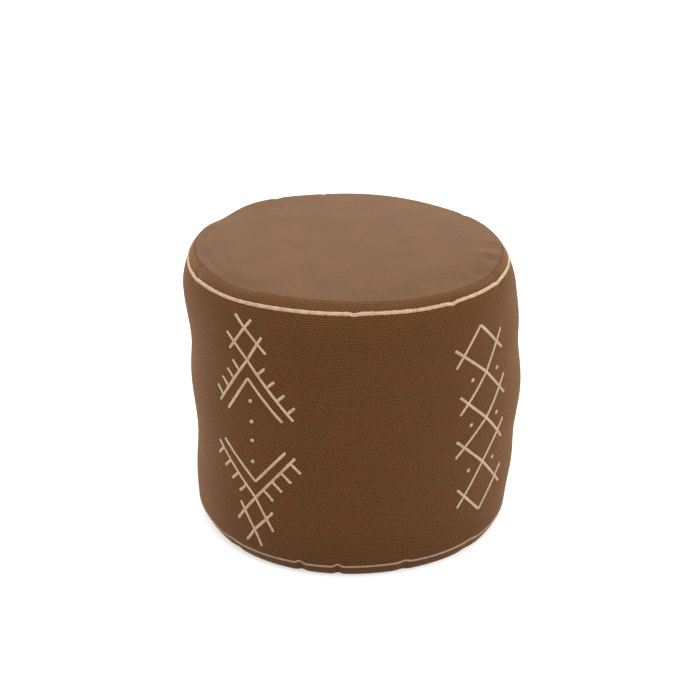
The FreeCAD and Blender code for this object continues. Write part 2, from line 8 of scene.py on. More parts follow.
import bpy
import numpy as np
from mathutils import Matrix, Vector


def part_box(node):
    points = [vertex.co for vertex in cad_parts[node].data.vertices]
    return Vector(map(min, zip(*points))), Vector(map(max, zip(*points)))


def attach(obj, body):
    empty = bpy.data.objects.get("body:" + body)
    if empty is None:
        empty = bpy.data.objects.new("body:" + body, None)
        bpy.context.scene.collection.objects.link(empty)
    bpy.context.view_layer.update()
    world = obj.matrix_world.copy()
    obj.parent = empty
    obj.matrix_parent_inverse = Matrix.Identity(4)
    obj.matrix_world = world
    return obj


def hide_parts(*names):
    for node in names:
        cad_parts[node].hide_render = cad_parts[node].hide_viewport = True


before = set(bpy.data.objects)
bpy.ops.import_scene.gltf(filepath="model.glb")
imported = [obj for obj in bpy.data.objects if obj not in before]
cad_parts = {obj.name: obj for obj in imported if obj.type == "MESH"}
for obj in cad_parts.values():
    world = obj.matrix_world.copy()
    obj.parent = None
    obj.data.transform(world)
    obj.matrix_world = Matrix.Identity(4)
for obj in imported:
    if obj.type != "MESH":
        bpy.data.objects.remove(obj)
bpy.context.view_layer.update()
RANDOM = np.random.default_rng(7)
TURN = 2 * math.pi

# ---------------- the outline of the drum

# a hem arc, a side that swells a little and a shoulder arc, as the CAD band has them
HEM_CENTRE = 0.171
HEM_RADIUS = 0.047
HEM_ANGLE = math.radians(38)
HEM_HEIGHT = HEM_RADIUS * math.sin(HEM_ANGLE)
SHOULDER_CENTRE = 0.135
SHOULDER_HEIGHT = 0.335
SHOULDER_RADIUS = 0.090
SEAM_ANGLE = math.radians(35)
BARREL_SWELL = 0.0019
CROWN_HEIGHT = float(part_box("top_panel")[1][2])
SIDE_SEAM = math.radians(225)
MEAN_RADIUS = 0.222
ARC_POINTS = 60
SIDE_POINTS = 120


def make_outline():
    """Radius and height of closely spaced points up the band, with the run to each."""
    hem = np.linspace(-HEM_ANGLE, 0, ARC_POINTS)
    shoulder = np.linspace(0, SEAM_ANGLE, ARC_POINTS)
    along = np.linspace(0, 1, SIDE_POINTS + 2)[1:-1]
    low_radius = HEM_CENTRE + HEM_RADIUS
    high_radius = SHOULDER_CENTRE + SHOULDER_RADIUS
    radius = np.concatenate([
        HEM_CENTRE + HEM_RADIUS * np.cos(hem),
        low_radius + (high_radius - low_radius) * along + BARREL_SWELL * 4 * along * (1 - along),
        SHOULDER_CENTRE + SHOULDER_RADIUS * np.cos(shoulder),
    ])
    height = np.concatenate([
        HEM_HEIGHT + HEM_RADIUS * np.sin(hem),
        HEM_HEIGHT + (SHOULDER_HEIGHT - HEM_HEIGHT) * along,
        SHOULDER_HEIGHT + SHOULDER_RADIUS * np.sin(shoulder),
    ])
    steps = np.hypot(np.diff(radius), np.diff(height))
    return radius, height, np.concatenate([[0], np.cumsum(steps)])


OUTLINE_RADIUS, OUTLINE_HEIGHT, OUTLINE_RUN = make_outline()
BAND_RUN = float(OUTLINE_RUN[-1])
SEAM_RADIUS, SEAM_HEIGHT = float(OUTLINE_RADIUS[-1]), float(OUTLINE_HEIGHT[-1])
BASE_RADIUS = float(OUTLINE_RADIUS[0])


def run_at_height(height):
    return np.interp(height, OUTLINE_HEIGHT, OUTLINE_RUN)


def outline_at(run):
    """Radius and height of the plain outline."""
    return np.interp(run, OUTLINE_RUN, OUTLINE_RADIUS), np.interp(run, OUTLINE_RUN, OUTLINE_HEIGHT)


def stack(*parts):
    """Puts arrays side by side along a new last axis, spread to a common shape."""
    return np.stack(np.broadcast_arrays(*parts), axis=-1)


def round_drum(angle, radius, height):
    """Places at an angle round the drum, a radius and a height."""
    return stack(radius * np.sin(angle), -radius * np.cos(angle), height)


def angle_apart(angle, centre):
    """The signed angle from a centre, between minus and plus half a turn."""
    return (angle - centre + math.pi) % TURN - math.pi


def bell(distance, half_width):
    return np.exp(-((distance / half_width) ** 2))


def smooth_noise(angle, place, seed, around, up):
    """A few slow waves that close round the drum, between about -1 and 1."""
    chance = np.random.default_rng(seed)
    total = 0
    for _ in range(5):
        waves = chance.integers(1, around + 1)
        rise = chance.uniform(-up, up)
        total = total + np.sin(waves * angle + rise * place / BAND_RUN * TURN + chance.uniform(0, TURN))
    return total / 3


# ---------------- dents and swells of the stuffed cover

VIEW_ANGLE = math.radians(34.5)
# the lists below count angles and half widths in degrees, from the middle of the view
# dents and bulges of the side: angle, height, half width, half height, push
SWELLS = [
    (-86, 0.265, 26, 0.055, -0.009),
    (-84, 0.135, 26, 0.07, -0.0105),
    (86, 0.29, 24, 0.035, 0.004),
    (86, 0.19, 28, 0.065, 0.011),
    (86, 0.085, 26, 0.04, 0.0045),
]
BROAD_LUMPS = 0.0009
SMALL_LUMPS = 0.0005
# where the two seams are drawn out of their circles: angle, half width, push outwards, rise
TOP_SEAM_PULLS = [(103, 26, -0.008, -0.0005), (138, 24, -0.003, -0.0035), (-142, 18, 0, 0.003),
                  (-122, 9, 0, -0.0042), (-84, 16, -0.001, 0), (-45, 11, 0, -0.004),
                  (24, 17, 0, -0.003), (54, 16, 0, -0.0048)]
HEM_PULLS = [(-68, 26, -0.0065, 0), (44, 20, 0.0025, 0)]
# creases of the top beside its seam, radial on the right and along the seam on the left: angle, half width,
# distance from the seam, half length, rise
TOP_PUCKERS = [(57, 1.7, 0.016, 0.014, -0.0016), (72, 1.8, 0.015, 0.015, -0.0014),
               (77, 1.7, 0.017, 0.017, 0.0016), (84, 2, 0.014, 0.014, -0.0014),
               (91, 2.2, 0.017, 0.017, 0.0014), (-76, 17, 0.013, 0.004, -0.0016),
               (-82, 15, 0.022, 0.0042, 0.0013), (-70, 12, 0.033, 0.0055, -0.001),
               (-104, 12, 0.016, 0.0045, -0.001)]
# folds where the hem is caught, and small kinks of the shoulder: angle, half width, rise
HEM_FOLDS = [(-17.7, 1.4, 0.0044), (-4.3, 1.2, 0.0048), (19.2, 1.7, 0.0032), (-47, 2, 0.002),
             (47, 2.2, 0.002), (112, 2, 0.0035), (163, 1.6, 0.003), (-128, 1.8, 0.004)]
SHOULDER_FOLDS = [(1.5, 1.4, 0.0014), (36.5, 1.6, 0.0018), (61.5, 2, 0.0018), (-66, 2, 0.0012),
                  (128, 1.8, 0.0018), (-150, 1.6, 0.0018)]
# how much spare cloth is gathered into the top seam, on top of a little all round: angle, half width, share
SEAM_FULLNESS = [(66, 26, 0.75), (-72, 30, 0.75), (178, 50, 0.35)]
LEAST_FULLNESS = 0.22


def near_angle(angle, degrees, half_width):
    """1 at an angle counted from the middle of the view, falling away on both sides, in degrees."""
    return bell(angle_apart(angle, VIEW_ANGLE + math.radians(degrees)), math.radians(half_width))


def spread(angle, places):
    """Adds up what a list of angle, half width and size gives at an angle."""
    return sum(size * near_angle(angle, degrees, half_width) for degrees, half_width, size in places)


def swell(angle, height):
    """How far the stuffed cover stands out from its plain outline."""
    push = BROAD_LUMPS * smooth_noise(angle, height, 3, 6, 2)
    push = push + SMALL_LUMPS * smooth_noise(angle, height, 5, 14, 4)
    for degrees, level, half_width, half_height, amount in SWELLS:
        push = push + amount * near_angle(angle, degrees, half_width) * bell(height - level, half_height)
    return push


def seam_pull(angle, distance, pulls):
    """How far outwards and upwards the cloth is drawn, at a distance from a seam out of its circle."""
    out, up = 0 * angle, 0 * angle
    for degrees, half_width, push, rise in pulls:
        reach = math.radians(half_width) * MEAN_RADIUS / 2
        near = near_angle(angle, degrees, half_width) * bell(distance, reach)
        out = out + push * near
        up = up + rise * near
    return out, up


def fold_moves(angle, run):
    """How far the folds push the cloth out, as a ridge above a hollow at the hem and as a hollow at the
    shoulder, and how far they draw it up at the hem and down at the shoulder."""
    hem, shoulder = spread(angle, HEM_FOLDS), spread(angle, SHOULDER_FOLDS)
    ridge, hollow = 0.35 * bell(run - 0.024, 0.010), 0.9 * bell(run - 0.008, 0.009)
    push = hem * (ridge - hollow) - 0.8 * shoulder * bell(run - (BAND_RUN - 0.010), 0.014)
    lift = hem * bell(run - 0.018, 0.016) - shoulder * bell(run - (BAND_RUN - 0.016), 0.016)
    return push, lift


# ---------------- wrinkles, by cloth simulation

SIM_COLUMNS = 288
SIM_ROWS = 84
SIM_RINGS = 36
SIM_FRAMES = 26
UNEVENNESS = 0.00025
WRINKLE_LIMIT = 0.004
CLOTH_SETTINGS = {
    "quality": 5,
    "mass": 0.3,
    "tension_stiffness": 40,
    "compression_stiffness": 40,
    "shear_stiffness": 15,
    "bending_stiffness": 1.2,
    "air_damping": 3,
    "use_pressure": True,
    "uniform_pressure_force": 1.5,
    "vertex_group_mass": "pins",
    "vertex_group_shrink": "spare",
    "shrink_min": 0.0,
    "shrink_max": -0.045,
}


def plain_top(angle, share):
    """A place on the plain top, sunk a little at its seam: share is 0 at the seam and 1 in the middle."""
    dome = (CROWN_HEIGHT - SEAM_HEIGHT) * (1 - (1 - share) ** 2.6)
    height = SEAM_HEIGHT + dome - 0.0006 * bell(share, 0.008)
    return round_drum(angle, SEAM_RADIUS * (1 - share), height)


def spare_cloth(angles, runs, shares):
    """How much spare cloth each row and column of points gets, from 0 to 1: most beside the seams."""
    fullness = np.clip(LEAST_FULLNESS + spread(angles, SEAM_FULLNESS), 0, 1)
    by_top_seam, by_base_seam = 0.6 * bell(BAND_RUN - runs, 0.035), 0.45 * bell(runs, 0.035)
    band = by_top_seam[:, None] * fullness + by_base_seam[:, None]
    top = bell(SEAM_RADIUS * shares, 0.060)[:, None] * fullness
    return np.minimum(np.concatenate([band, top]), 1)


def ring_faces(rows, columns, wrap=True):
    """The four-sided faces of a grid of points, row by row, closed round its columns if it wraps."""
    across = columns if wrap else columns - 1
    row, column = np.meshgrid(np.arange(rows - 1), np.arange(across), indexing="ij")
    beside = (column + 1) % columns
    corners = [row * columns + column, row * columns + beside,
               (row + 1) * columns + beside, (row + 1) * columns + column]
    return np.stack(corners, axis=-1).reshape(-1, 4)


def inflated(points, faces, pinned, spare):
    """Where a study of the cover ends up once it is blown up by the cloth simulation."""
    mesh = bpy.data.meshes.new("wrinkle_study")
    mesh.from_pydata(points.tolist(), [], faces)
    study = bpy.data.objects.new("wrinkle_study", mesh)
    bpy.context.collection.objects.link(study)
    study.vertex_groups.new(name="pins").add(pinned, 1.0, "REPLACE")
    spare_group = study.vertex_groups.new(name="spare")
    for index, amount in enumerate(spare.ravel()):
        spare_group.add([index], float(amount), "REPLACE")
    cloth = study.modifiers.new("cloth", "CLOTH")
    for name, value in CLOTH_SETTINGS.items():
        setattr(cloth.settings, name, value)
    cloth.settings.effector_weights.gravity = 0
    cloth.collision_settings.use_collision = False
    cloth.point_cache.frame_start = 1
    cloth.point_cache.frame_end = SIM_FRAMES
    scene = bpy.context.scene
    for step in range(1, SIM_FRAMES + 1):
        scene.frame_set(step)
    evaluated = study.evaluated_get(bpy.context.evaluated_depsgraph_get())
    moved = np.empty(len(points) * 3)
    evaluated.data.vertices.foreach_get("co", moved)
    bpy.data.objects.remove(study)
    scene.frame_set(1)
    return moved.reshape(-1, 3)


def simulate_wrinkles():
    """Sews a band, a top and a pinned base, with spare cloth near the seams, and inflates them. Gives how
    far each grid point of the band and of the top strays from its ring's average."""
    angles = np.arange(SIM_COLUMNS) * TURN / SIM_COLUMNS
    runs = np.linspace(0, BAND_RUN, SIM_ROWS)
    shares = np.linspace(0, 1, SIM_RINGS + 1)[1:-1]
    band = round_drum(angles[None, :], *outline_at(runs[:, None]))
    top = plain_top(angles[None, :], shares[:, None])
    points = np.concatenate([band, top]).reshape(-1, 3)
    points = points + RANDOM.normal(0, UNEVENNESS, points.shape)
    rows = SIM_ROWS + len(shares)
    last, crown, floor = len(points) - SIM_COLUMNS, len(points), len(points) + 1
    faces = ring_faces(rows, SIM_COLUMNS).tolist()
    for i in range(SIM_COLUMNS):
        beside = (i + 1) % SIM_COLUMNS
        faces += [[last + i, last + beside, crown], [beside, i, floor]]
    points = np.concatenate([points, [[0, 0, CROWN_HEIGHT], [0, 0, 0]]])
    pinned = [*range(SIM_COLUMNS), *range((SIM_ROWS - 1) * SIM_COLUMNS, SIM_ROWS * SIM_COLUMNS), floor]
    moved = inflated(points, faces, pinned, spare_cloth(angles, runs, shares))

    strayed = (moved - points)[:-2].reshape(rows, SIM_COLUMNS, 3)
    outward = np.stack([np.sin(angles), -np.cos(angles)], axis=-1)
    outwards = (strayed[..., :2] * outward).sum(axis=-1)
    out = outwards - outwards.mean(axis=1, keepdims=True)
    up = strayed[..., 2] - strayed[..., 2].mean(axis=1, keepdims=True)
    field = np.clip(np.stack([out, up], axis=-1), -WRINKLE_LIMIT, WRINKLE_LIMIT)
    return soften(field[:SIM_ROWS]), soften(field[SIM_ROWS - 1:])


def soften(field):
    """Evens out a grid that closes round its columns, by one step."""
    beside = (np.roll(field, 1, axis=1) + 2 * field + np.roll(field, -1, axis=1)) / 4
    above = np.concatenate([beside[1:], beside[-1:]])
    below = np.concatenate([beside[:1], beside[:-1]])
    return (above + 2 * beside + below) / 4


def sample(field, row, column):
    """Reads a grid that closes round its columns between its points, smoothly."""
    row = np.clip(row, 0, field.shape[0] - 1.0001)
    low_row = np.floor(row).astype(int)
    low_column = np.floor(column).astype(int)
    up = (row - low_row)[..., None]
    across = (column - low_column)[..., None]
    across = across * across * (3 - 2 * across)
    up = up * up * (3 - 2 * up)
    columns = field.shape[1]
    left, right = low_column % columns, (low_column + 1) % columns
    low = field[low_row, left] * (1 - across) + field[low_row, right] * across
    high = field[low_row + 1, left] * (1 - across) + field[low_row + 1, right] * across
    return low * (1 - up) + high * up


BAND_WRINKLES, TOP_WRINKLES = simulate_wrinkles()


# ---------------- the finished surfaces

SEAM_GROOVE_WIDTH = 0.0022
TOP_SEAM_GROOVE = 0.0010
BASE_SEAM_GROOVE = 0.0008
SIDE_SEAM_GROOVE = 0.0014
# how near its seams the band loses its swells, and how near its middle the top loses its wrinkles
SWELL_FADE = 0.03
CALM_SHARE = 0.45


def band_point(angle, run):
    """A place on the outside of the finished band."""
    angle, run = np.broadcast_arrays(np.asarray(angle, float), np.asarray(run, float))
    radius, height = outline_at(run)
    slope_out = np.interp(run, OUTLINE_RUN, np.gradient(OUTLINE_RADIUS, OUTLINE_RUN))
    slope_up = np.interp(run, OUTLINE_RUN, np.gradient(OUTLINE_HEIGHT, OUTLINE_RUN))
    fade = np.clip(run / SWELL_FADE, 0, 1) * np.clip((BAND_RUN - run) / SWELL_FADE, 0, 1)
    fold_push, lift = fold_moves(angle, run)
    push = swell(angle, height) * fade + fold_push
    for depth, distance in ((TOP_SEAM_GROOVE, BAND_RUN - run), (BASE_SEAM_GROOVE, run),
                            (SIDE_SEAM_GROOVE, angle_apart(angle, SIDE_SEAM) * MEAN_RADIUS)):
        push = push - depth * bell(distance, SEAM_GROOVE_WIDTH)
    wrinkle = sample(BAND_WRINKLES, run / BAND_RUN * (SIM_ROWS - 1), angle / TURN * SIM_COLUMNS)
    top_out, top_up = seam_pull(angle, BAND_RUN - run, TOP_SEAM_PULLS)
    hem_out, hem_up = seam_pull(angle, run, HEM_PULLS)
    radius = radius + push * slope_up + lift * slope_out + wrinkle[..., 0] + top_out + hem_out
    height = height - push * slope_out + lift * slope_up + wrinkle[..., 1] + top_up + hem_up
    return round_drum(angle, radius, height)


def top_pull(angle, distance):
    """How the top's seam pulls move a place at a distance from the seam."""
    return round_drum(angle, *seam_pull(angle, distance, TOP_SEAM_PULLS))


def edge_pucker(angle, distance):
    """Small creases of the top beside its seam, as outward and upward moves, like a wrinkle."""
    rise = 0
    for degrees, half_width, inward, half_length, height in TOP_PUCKERS:
        rise = rise + height * near_angle(angle, degrees, half_width) * bell(distance - inward, half_length)
    return np.stack([0 * rise, rise], axis=-1)


def top_point(angle, share):
    """A place on the outside of the finished top."""
    angle, share = np.broadcast_arrays(np.asarray(angle, float), np.asarray(share, float))
    wrinkle = sample(TOP_WRINKLES, share * SIM_RINGS, angle / TURN * SIM_COLUMNS)
    edge = band_point(angle, BAND_RUN + 0 * angle) - plain_top(angle, 0 * share)
    unpulled = edge - top_pull(angle, 0 * share)
    place = plain_top(angle, share) + unpulled * bell(share[..., None], 0.10)
    place = place + top_pull(angle, share * SEAM_RADIUS)
    calm = np.clip((1 - share) / CALM_SHARE, 0, 1) ** 1.5
    wrinkle = (wrinkle + edge_pucker(angle, share * SEAM_RADIUS)) * calm[..., None]
    lumps = 0.0004 * smooth_noise(angle, share, 11, 4, 1) * share * calm
    return place + round_drum(angle, wrinkle[..., 0], wrinkle[..., 1] + lumps)


def one_long(vectors):
    return vectors / np.linalg.norm(vectors, axis=-1, keepdims=True)


def band_facing(angle, run):
    """The outward direction of the finished band at each place."""
    along = band_point(angle + 0.002, run) - band_point(angle - 0.002, run)
    upward = band_point(angle, run + 0.0004) - band_point(angle, run - 0.0004)
    return one_long(np.cross(along, upward))


# ---------------- making objects


def new_object(name, points, faces, material, uv=None):
    """A smooth-shaded mesh object; uv gives a place on the cloth, in metres, for every point."""
    mesh = bpy.data.meshes.new(name)
    mesh.from_pydata(np.asarray(points).reshape(-1, 3).tolist(), [], [list(map(int, f)) for f in faces])
    if uv is not None:
        layer = mesh.uv_layers.new(name="cloth")
        corners = np.empty(len(mesh.loops), dtype=int)
        mesh.loops.foreach_get("vertex_index", corners)
        layer.data.foreach_set("uv", np.asarray(uv).reshape(-1, 2)[corners].ravel())
    mesh.shade_smooth()
    mesh.materials.append(material)
    made = bpy.data.objects.new(name, mesh)
    bpy.context.collection.objects.link(made)
    return made


def thicken(piece, thickness):
    """Gives a sheet its thickness, inwards."""
    solid = piece.modifiers.new("thickness", "SOLIDIFY")
    solid.thickness = thickness
    solid.offset = -1


def finish_piece(piece, node):
    """Puts a piece on the pouf's body, in place of one CAD node."""
    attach(piece, "pouf")
    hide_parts(node)


# ---------------- materials


def set_inputs(node, values):
    """Sets inputs of a node; a value is either a number, a colour or another node's socket."""
    for key, value in values.items():
        socket = node.inputs[key]
        if isinstance(value, bpy.types.NodeSocket):
            node.id_data.links.new(value, socket)
        elif socket.type == "RGBA":
            socket.default_value = (*value, 1)
        else:
            socket.default_value = value


def make_material(name, recipe, *details):
    """A material whose shader gets the inputs that a recipe gives."""
    material = bpy.data.materials.new(name)
    material.use_nodes = True
    tree = material.node_tree
    set_inputs(tree.nodes["Principled BSDF"], recipe(tree, *details))
    return material


def add_node(tree, kind, inputs=None, **settings):
    made = tree.nodes.new(kind)
    for key, value in settings.items():
        setattr(made, key, value)
    set_inputs(made, inputs or {})
    return made


def calculate(tree, operation, first, second=0.0, third=0.0):
    return add_node(tree, "ShaderNodeMath", {0: first, 1: second, 2: third}, operation=operation).outputs[0]


def add_part(tree, whole, part, share):
    """Adds a share of one value to another."""
    return calculate(tree, "ADD", whole, calculate(tree, "MULTIPLY", part, share))


def noise(tree, place, scale, detail=2.0, rough=0.5):
    values = {"Vector": place, "Scale": scale, "Detail": detail, "Roughness": rough}
    return add_node(tree, "ShaderNodeTexNoise", values).outputs["Fac"]


def ramp(tree, factor, low, high, to_low=0.0, to_high=1.0):
    """Maps a factor between two limits to between two others, smoothly."""
    values = {"Value": factor, "From Min": low, "From Max": high, "To Min": to_low, "To Max": to_high}
    return add_node(tree, "ShaderNodeMapRange", values, interpolation_type="SMOOTHSTEP").outputs["Result"]


def blend(tree, factor, first, second, kind="MIX"):
    """Mixes two colours; the mix node's inputs 6 and 7 and its output 2 are its colours."""
    values = {0: factor, 6: first, 7: second}
    return add_node(tree, "ShaderNodeMix", values, data_type="RGBA", blend_type=kind).outputs[2]


def stretched(tree, place, scale):
    return add_node(tree, "ShaderNodeMapping", {"Vector": place, "Scale": scale}).outputs[0]


def cloth_places(tree):
    """The place on the cloth, in metres, and its two parts."""
    place = add_node(tree, "ShaderNodeUVMap", uv_map="cloth").outputs[0]
    parts = add_node(tree, "ShaderNodeSeparateXYZ", {0: place})
    return place, parts.outputs[0], parts.outputs[1]


def object_place(tree):
    return add_node(tree, "ShaderNodeTexCoord").outputs["Object"]


def waves(tree, along, pitch):
    """A cosine wave of a pitch along a length."""
    return calculate(tree, "COSINE", calculate(tree, "MULTIPLY_ADD", along, TURN / pitch))


def bump(tree, height, depth, strength):
    values = {"Height": height, "Distance": depth, "Strength": strength}
    return add_node(tree, "ShaderNodeBump", values).outputs[0]


def sheen(weight, tint, roughness=0.4):
    """The shader's inputs for the pale glow of fibres seen edge on."""
    return {"Sheen Weight": weight, "Sheen Roughness": roughness, "Sheen Tint": tint}


def height_above_floor(tree):
    return add_node(tree, "ShaderNodeSeparateXYZ", {0: object_place(tree)}).outputs[2]


def shaded_near_floor(tree, colour, amount, reach):
    """Darkens a colour towards the floor: painted shade, where the cover faces down and gets little light
    from the floor.
    """
    floor_shade = ramp(tree, height_above_floor(tree), 0.0, reach, amount, 0.0)
    return blend(tree, floor_shade, colour, (0.034, 0.014, 0.004))


def lit_shoulder(tree, colour):
    """Lightens a colour on the shoulder, above the top border: painted light, where the shoulder faces up
    towards the light.
    """
    shoulder_light = ramp(tree, height_above_floor(tree), 0.370, 0.380, 0.0, 0.17)
    return blend(tree, shoulder_light, colour, (0.165, 0.082, 0.038))


# the coarse cloth: pitch of its floats, how far up turns into across, how far a yarn strays
FLOAT_ACROSS = 0.00358
FLOAT_UP = 0.00588
OFF_GRAIN = 0.06
YARN_WANDER = 0.0011
THREAD_PITCH = 0.00052


def band_weave(tree):
    """Coarse cloth: round floats of a lighter yarn in staggered rows over a dark ground, cut a little off
    its grain. Three waves in three directions meet in each float."""
    place, across, up = cloth_places(tree)
    across = add_part(tree, across, up, OFF_GRAIN)
    stray = calculate(tree, "SUBTRACT", noise(tree, place, 260), 0.5)
    across = add_part(tree, across, stray, YARN_WANDER)
    slanting = calculate(tree, "MULTIPLY", waves(tree, across, FLOAT_ACROSS), waves(tree, up, FLOAT_UP))
    dots = calculate(tree, "ADD", calculate(tree, "MULTIPLY", slanting, 2.0), waves(tree, up, FLOAT_UP / 2))
    floats = ramp(tree, dots, -1.3, 2.6)
    fibre = noise(tree, place, 2600, rough=0.7)
    patch = noise(tree, place, 22, 3, 0.55)
    hue = noise(tree, place, 20, 3)
    single = noise(tree, place, 300, 1)
    ground = blend(tree, patch, (0.0415, 0.0130, 0.0006), (0.0518, 0.0168, 0.0014))
    yarn = blend(tree, single, (0.0960, 0.0400, 0.0130), (0.1585, 0.0722, 0.0270))
    colour = blend(tree, floats, ground, yarn)
    redder = blend(tree, 1.0, colour, (1.04, 0.965, 0.93), "MULTIPLY")
    greener = blend(tree, 1.0, colour, (0.975, 1.025, 0.92), "MULTIPLY")
    colour = blend(tree, ramp(tree, hue, 0.38, 0.62), greener, redder)
    colour = blend(tree, ramp(tree, fibre, 0.35, 0.8, 0.0, 0.30), colour, (0.040, 0.015, 0.005))
    # the base colour gets painted light on the shoulder
    return {
        # painted shade towards the floor
        "Base Color": lit_shoulder(tree, shaded_near_floor(tree, colour, 0.25, 0.10)),
        "Roughness": 0.92,
        "Specular IOR Level": 0.15,
        "Normal": bump(tree, add_part(tree, floats, fibre, 0.30), 0.0006, 0.9),
        **sheen(0.22, (0.95, 0.53, 0.26), 0.36),
    }


def plain_canvas(tree, dark, light, pitch, sheen_weight):
    """Fine plain weave: warp and weft take turns on top."""
    place, across, up = cloth_places(tree)
    crossing = calculate(tree, "MULTIPLY", waves(tree, across, pitch * 2), waves(tree, up, pitch * 2))
    grooves = calculate(tree, "ADD", waves(tree, across, pitch), waves(tree, up, pitch))
    weave = calculate(tree, "MULTIPLY_ADD", crossing, 0.5, calculate(tree, "MULTIPLY", grooves, 0.25))
    warp = noise(tree, stretched(tree, place, (1, 0.08, 1)), 1500, 1)
    weft = noise(tree, stretched(tree, place, (0.08, 1, 1)), 1500, 1)
    yarns = calculate(tree, "ADD", warp, weft)
    patch = noise(tree, place, 18, 3)
    worn = [(first + second) / 2 * 0.82 for first, second in zip(dark, light)]
    colour = blend(tree, ramp(tree, yarns, 0.6, 1.4), dark, light)
    colour = blend(tree, ramp(tree, patch, 0.35, 0.65, 0.0, 0.6), colour, worn)
    return {
        "Base Color": colour,
        "Roughness": 0.92,
        "Specular IOR Level": 0.08,
        "Normal": bump(tree, add_part(tree, weave, yarns, 0.5), 0.00012, 0.8),
        **sheen(sheen_weight, (1.0, 0.78, 0.55)),
    }


def satin_thread(tree):
    """Glossy cream threads laid side by side across each stroke, with painted shade in their grooves and
    towards the floor.
    """
    place, along, _ = cloth_places(tree)
    ridges = waves(tree, along, THREAD_PITCH)
    streaks = stretched(tree, place, (1, 0.15, 1))
    tone = noise(tree, streaks, 1900, 1)
    rope = noise(tree, streaks, 420)
    patch = noise(tree, place, 60)
    colour = blend(tree, tone, (0.362, 0.233, 0.140), (0.517, 0.362, 0.250))
    colour = blend(tree, ramp(tree, patch, 0.35, 0.7, 0.0, 0.4), colour, (0.402, 0.260, 0.163))
    colour = blend(tree, ramp(tree, rope, 0.50, 0.72, 0.0, 0.55), colour, (0.240, 0.138, 0.070))
    # painted shade in the grooves between the threads
    colour = blend(tree, ramp(tree, ridges, -1.0, -0.3, 0.35, 0.0), colour, (0.30, 0.17, 0.08))
    return {
        # painted shade towards the floor
        "Base Color": shaded_near_floor(tree, colour, 0.55, 0.05),
        "Roughness": 0.5,
        "Specular IOR Level": 0.45,
        "Normal": bump(tree, add_part(tree, ridges, tone, 0.8), 0.00009, 0.8),
        **sheen(0.15, (1.0, 0.84, 0.64)),
    }


def sewing_thread(tree, colour):
    """Matt thread, uneven in tone."""
    tone = noise(tree, object_place(tree), 2400)
    return {
        "Base Color": blend(tree, tone, [c * 0.6 for c in colour], [c * 1.35 for c in colour]),
        "Roughness": 0.8,
        "Specular IOR Level": 0.1,
        "Normal": bump(tree, tone, 0.0001, 0.6),
        **sheen(0.04, (0.9, 0.6, 0.4)),
    }


def aged_brass(tree):
    """Brass with a dull patina, bright along its edges, with fine scratches."""
    place = object_place(tree)
    patina = noise(tree, place, 420, 4, 0.6)
    scratch = noise(tree, stretched(tree, place, (1, 14, 1)), 900)
    edges = ramp(tree, add_node(tree, "ShaderNodeNewGeometry").outputs["Pointiness"], 0.49, 0.56)
    colour = blend(tree, patina, (0.20, 0.125, 0.055), (0.42, 0.29, 0.13))
    return {
        "Base Color": blend(tree, edges, colour, (0.66, 0.50, 0.27)),
        "Roughness": ramp(tree, scratch, 0.3, 0.7, 0.28, 0.46),
        "Metallic": 1.0,
        "Normal": bump(tree, scratch, 0.00004, 0.5),
    }


def moulded_nylon(tree):
    """The zip's teeth: dark nylon with a faint grain."""
    grain = noise(tree, object_place(tree), 1800, 3)
    return {
        "Base Color": blend(tree, grain, (0.030, 0.018, 0.010), (0.060, 0.038, 0.024)),
        "Roughness": ramp(tree, grain, 0.3, 0.7, 0.34, 0.5),
        "Normal": bump(tree, grain, 0.00003, 0.5),
    }


def zip_tape_cloth(tree):
    """Herringbone tape."""
    place, along, across = cloth_places(tree)
    fold = calculate(tree, "PINGPONG", across, 0.0024)
    ribs = waves(tree, add_part(tree, along, fold, 1.2), 0.0008)
    fibre = calculate(tree, "MULTIPLY", noise(tree, place, 2500), 0.4)
    colour = blend(tree, ramp(tree, ribs, -1, 1), (0.018, 0.010, 0.006), (0.060, 0.036, 0.022))
    return {
        "Base Color": blend(tree, fibre, colour, (0.080, 0.052, 0.034)),
        "Roughness": 0.85,
        "Normal": bump(tree, ribs, 0.0001, 0.8),
        **sheen(0.3, (0.9, 0.8, 0.7)),
    }


def foam_beads(tree):
    """Polystyrene: white, faintly dimpled."""
    values = {"Vector": object_place(tree), "Scale": 260.0}
    cells = add_node(tree, "ShaderNodeTexVoronoi", values).outputs["Distance"]
    dimples = calculate(tree, "SUBTRACT", 1.0, cells)
    return {
        "Base Color": blend(tree, ramp(tree, cells, 0.2, 0.8), (0.86, 0.86, 0.84), (0.62, 0.62, 0.60)),
        "Roughness": 0.6,
        "Subsurface Weight": 0.1,
        "Normal": bump(tree, dimples, 0.001, 0.8),
    }


WEAVE = make_material("band_weave", band_weave)
CANVAS = make_material("top_canvas", plain_canvas, (0.0745, 0.0355, 0.0157), (0.1020, 0.0502, 0.0235),
                       0.0007, 0.12)
BASE_CLOTH = make_material("base_cloth", plain_canvas, (0.060, 0.031, 0.017), (0.105, 0.058, 0.034),
                           0.0009, 0.15)
LINER_CLOTH = make_material("liner_cloth", plain_canvas, (0.62, 0.60, 0.56), (0.78, 0.76, 0.72),
                            0.0008, 0.1)
SATIN = make_material("satin_thread", satin_thread)
BROWN_THREAD = make_material("seam_thread", sewing_thread, (0.050, 0.023, 0.010))
BRASS = make_material("aged_brass", aged_brass)
NYLON = make_material("zip_nylon", moulded_nylon)
TAPE = make_material("zip_tape", zip_tape_cloth)
BEADS = make_material("beads", foam_beads)


# ---------------- the cover

BAND_COLUMNS = 384
BAND_ROWS = 122
TOP_RINGS = 58
BAND_THICKNESS = 0.0018
TOP_THICKNESS = 0.0012


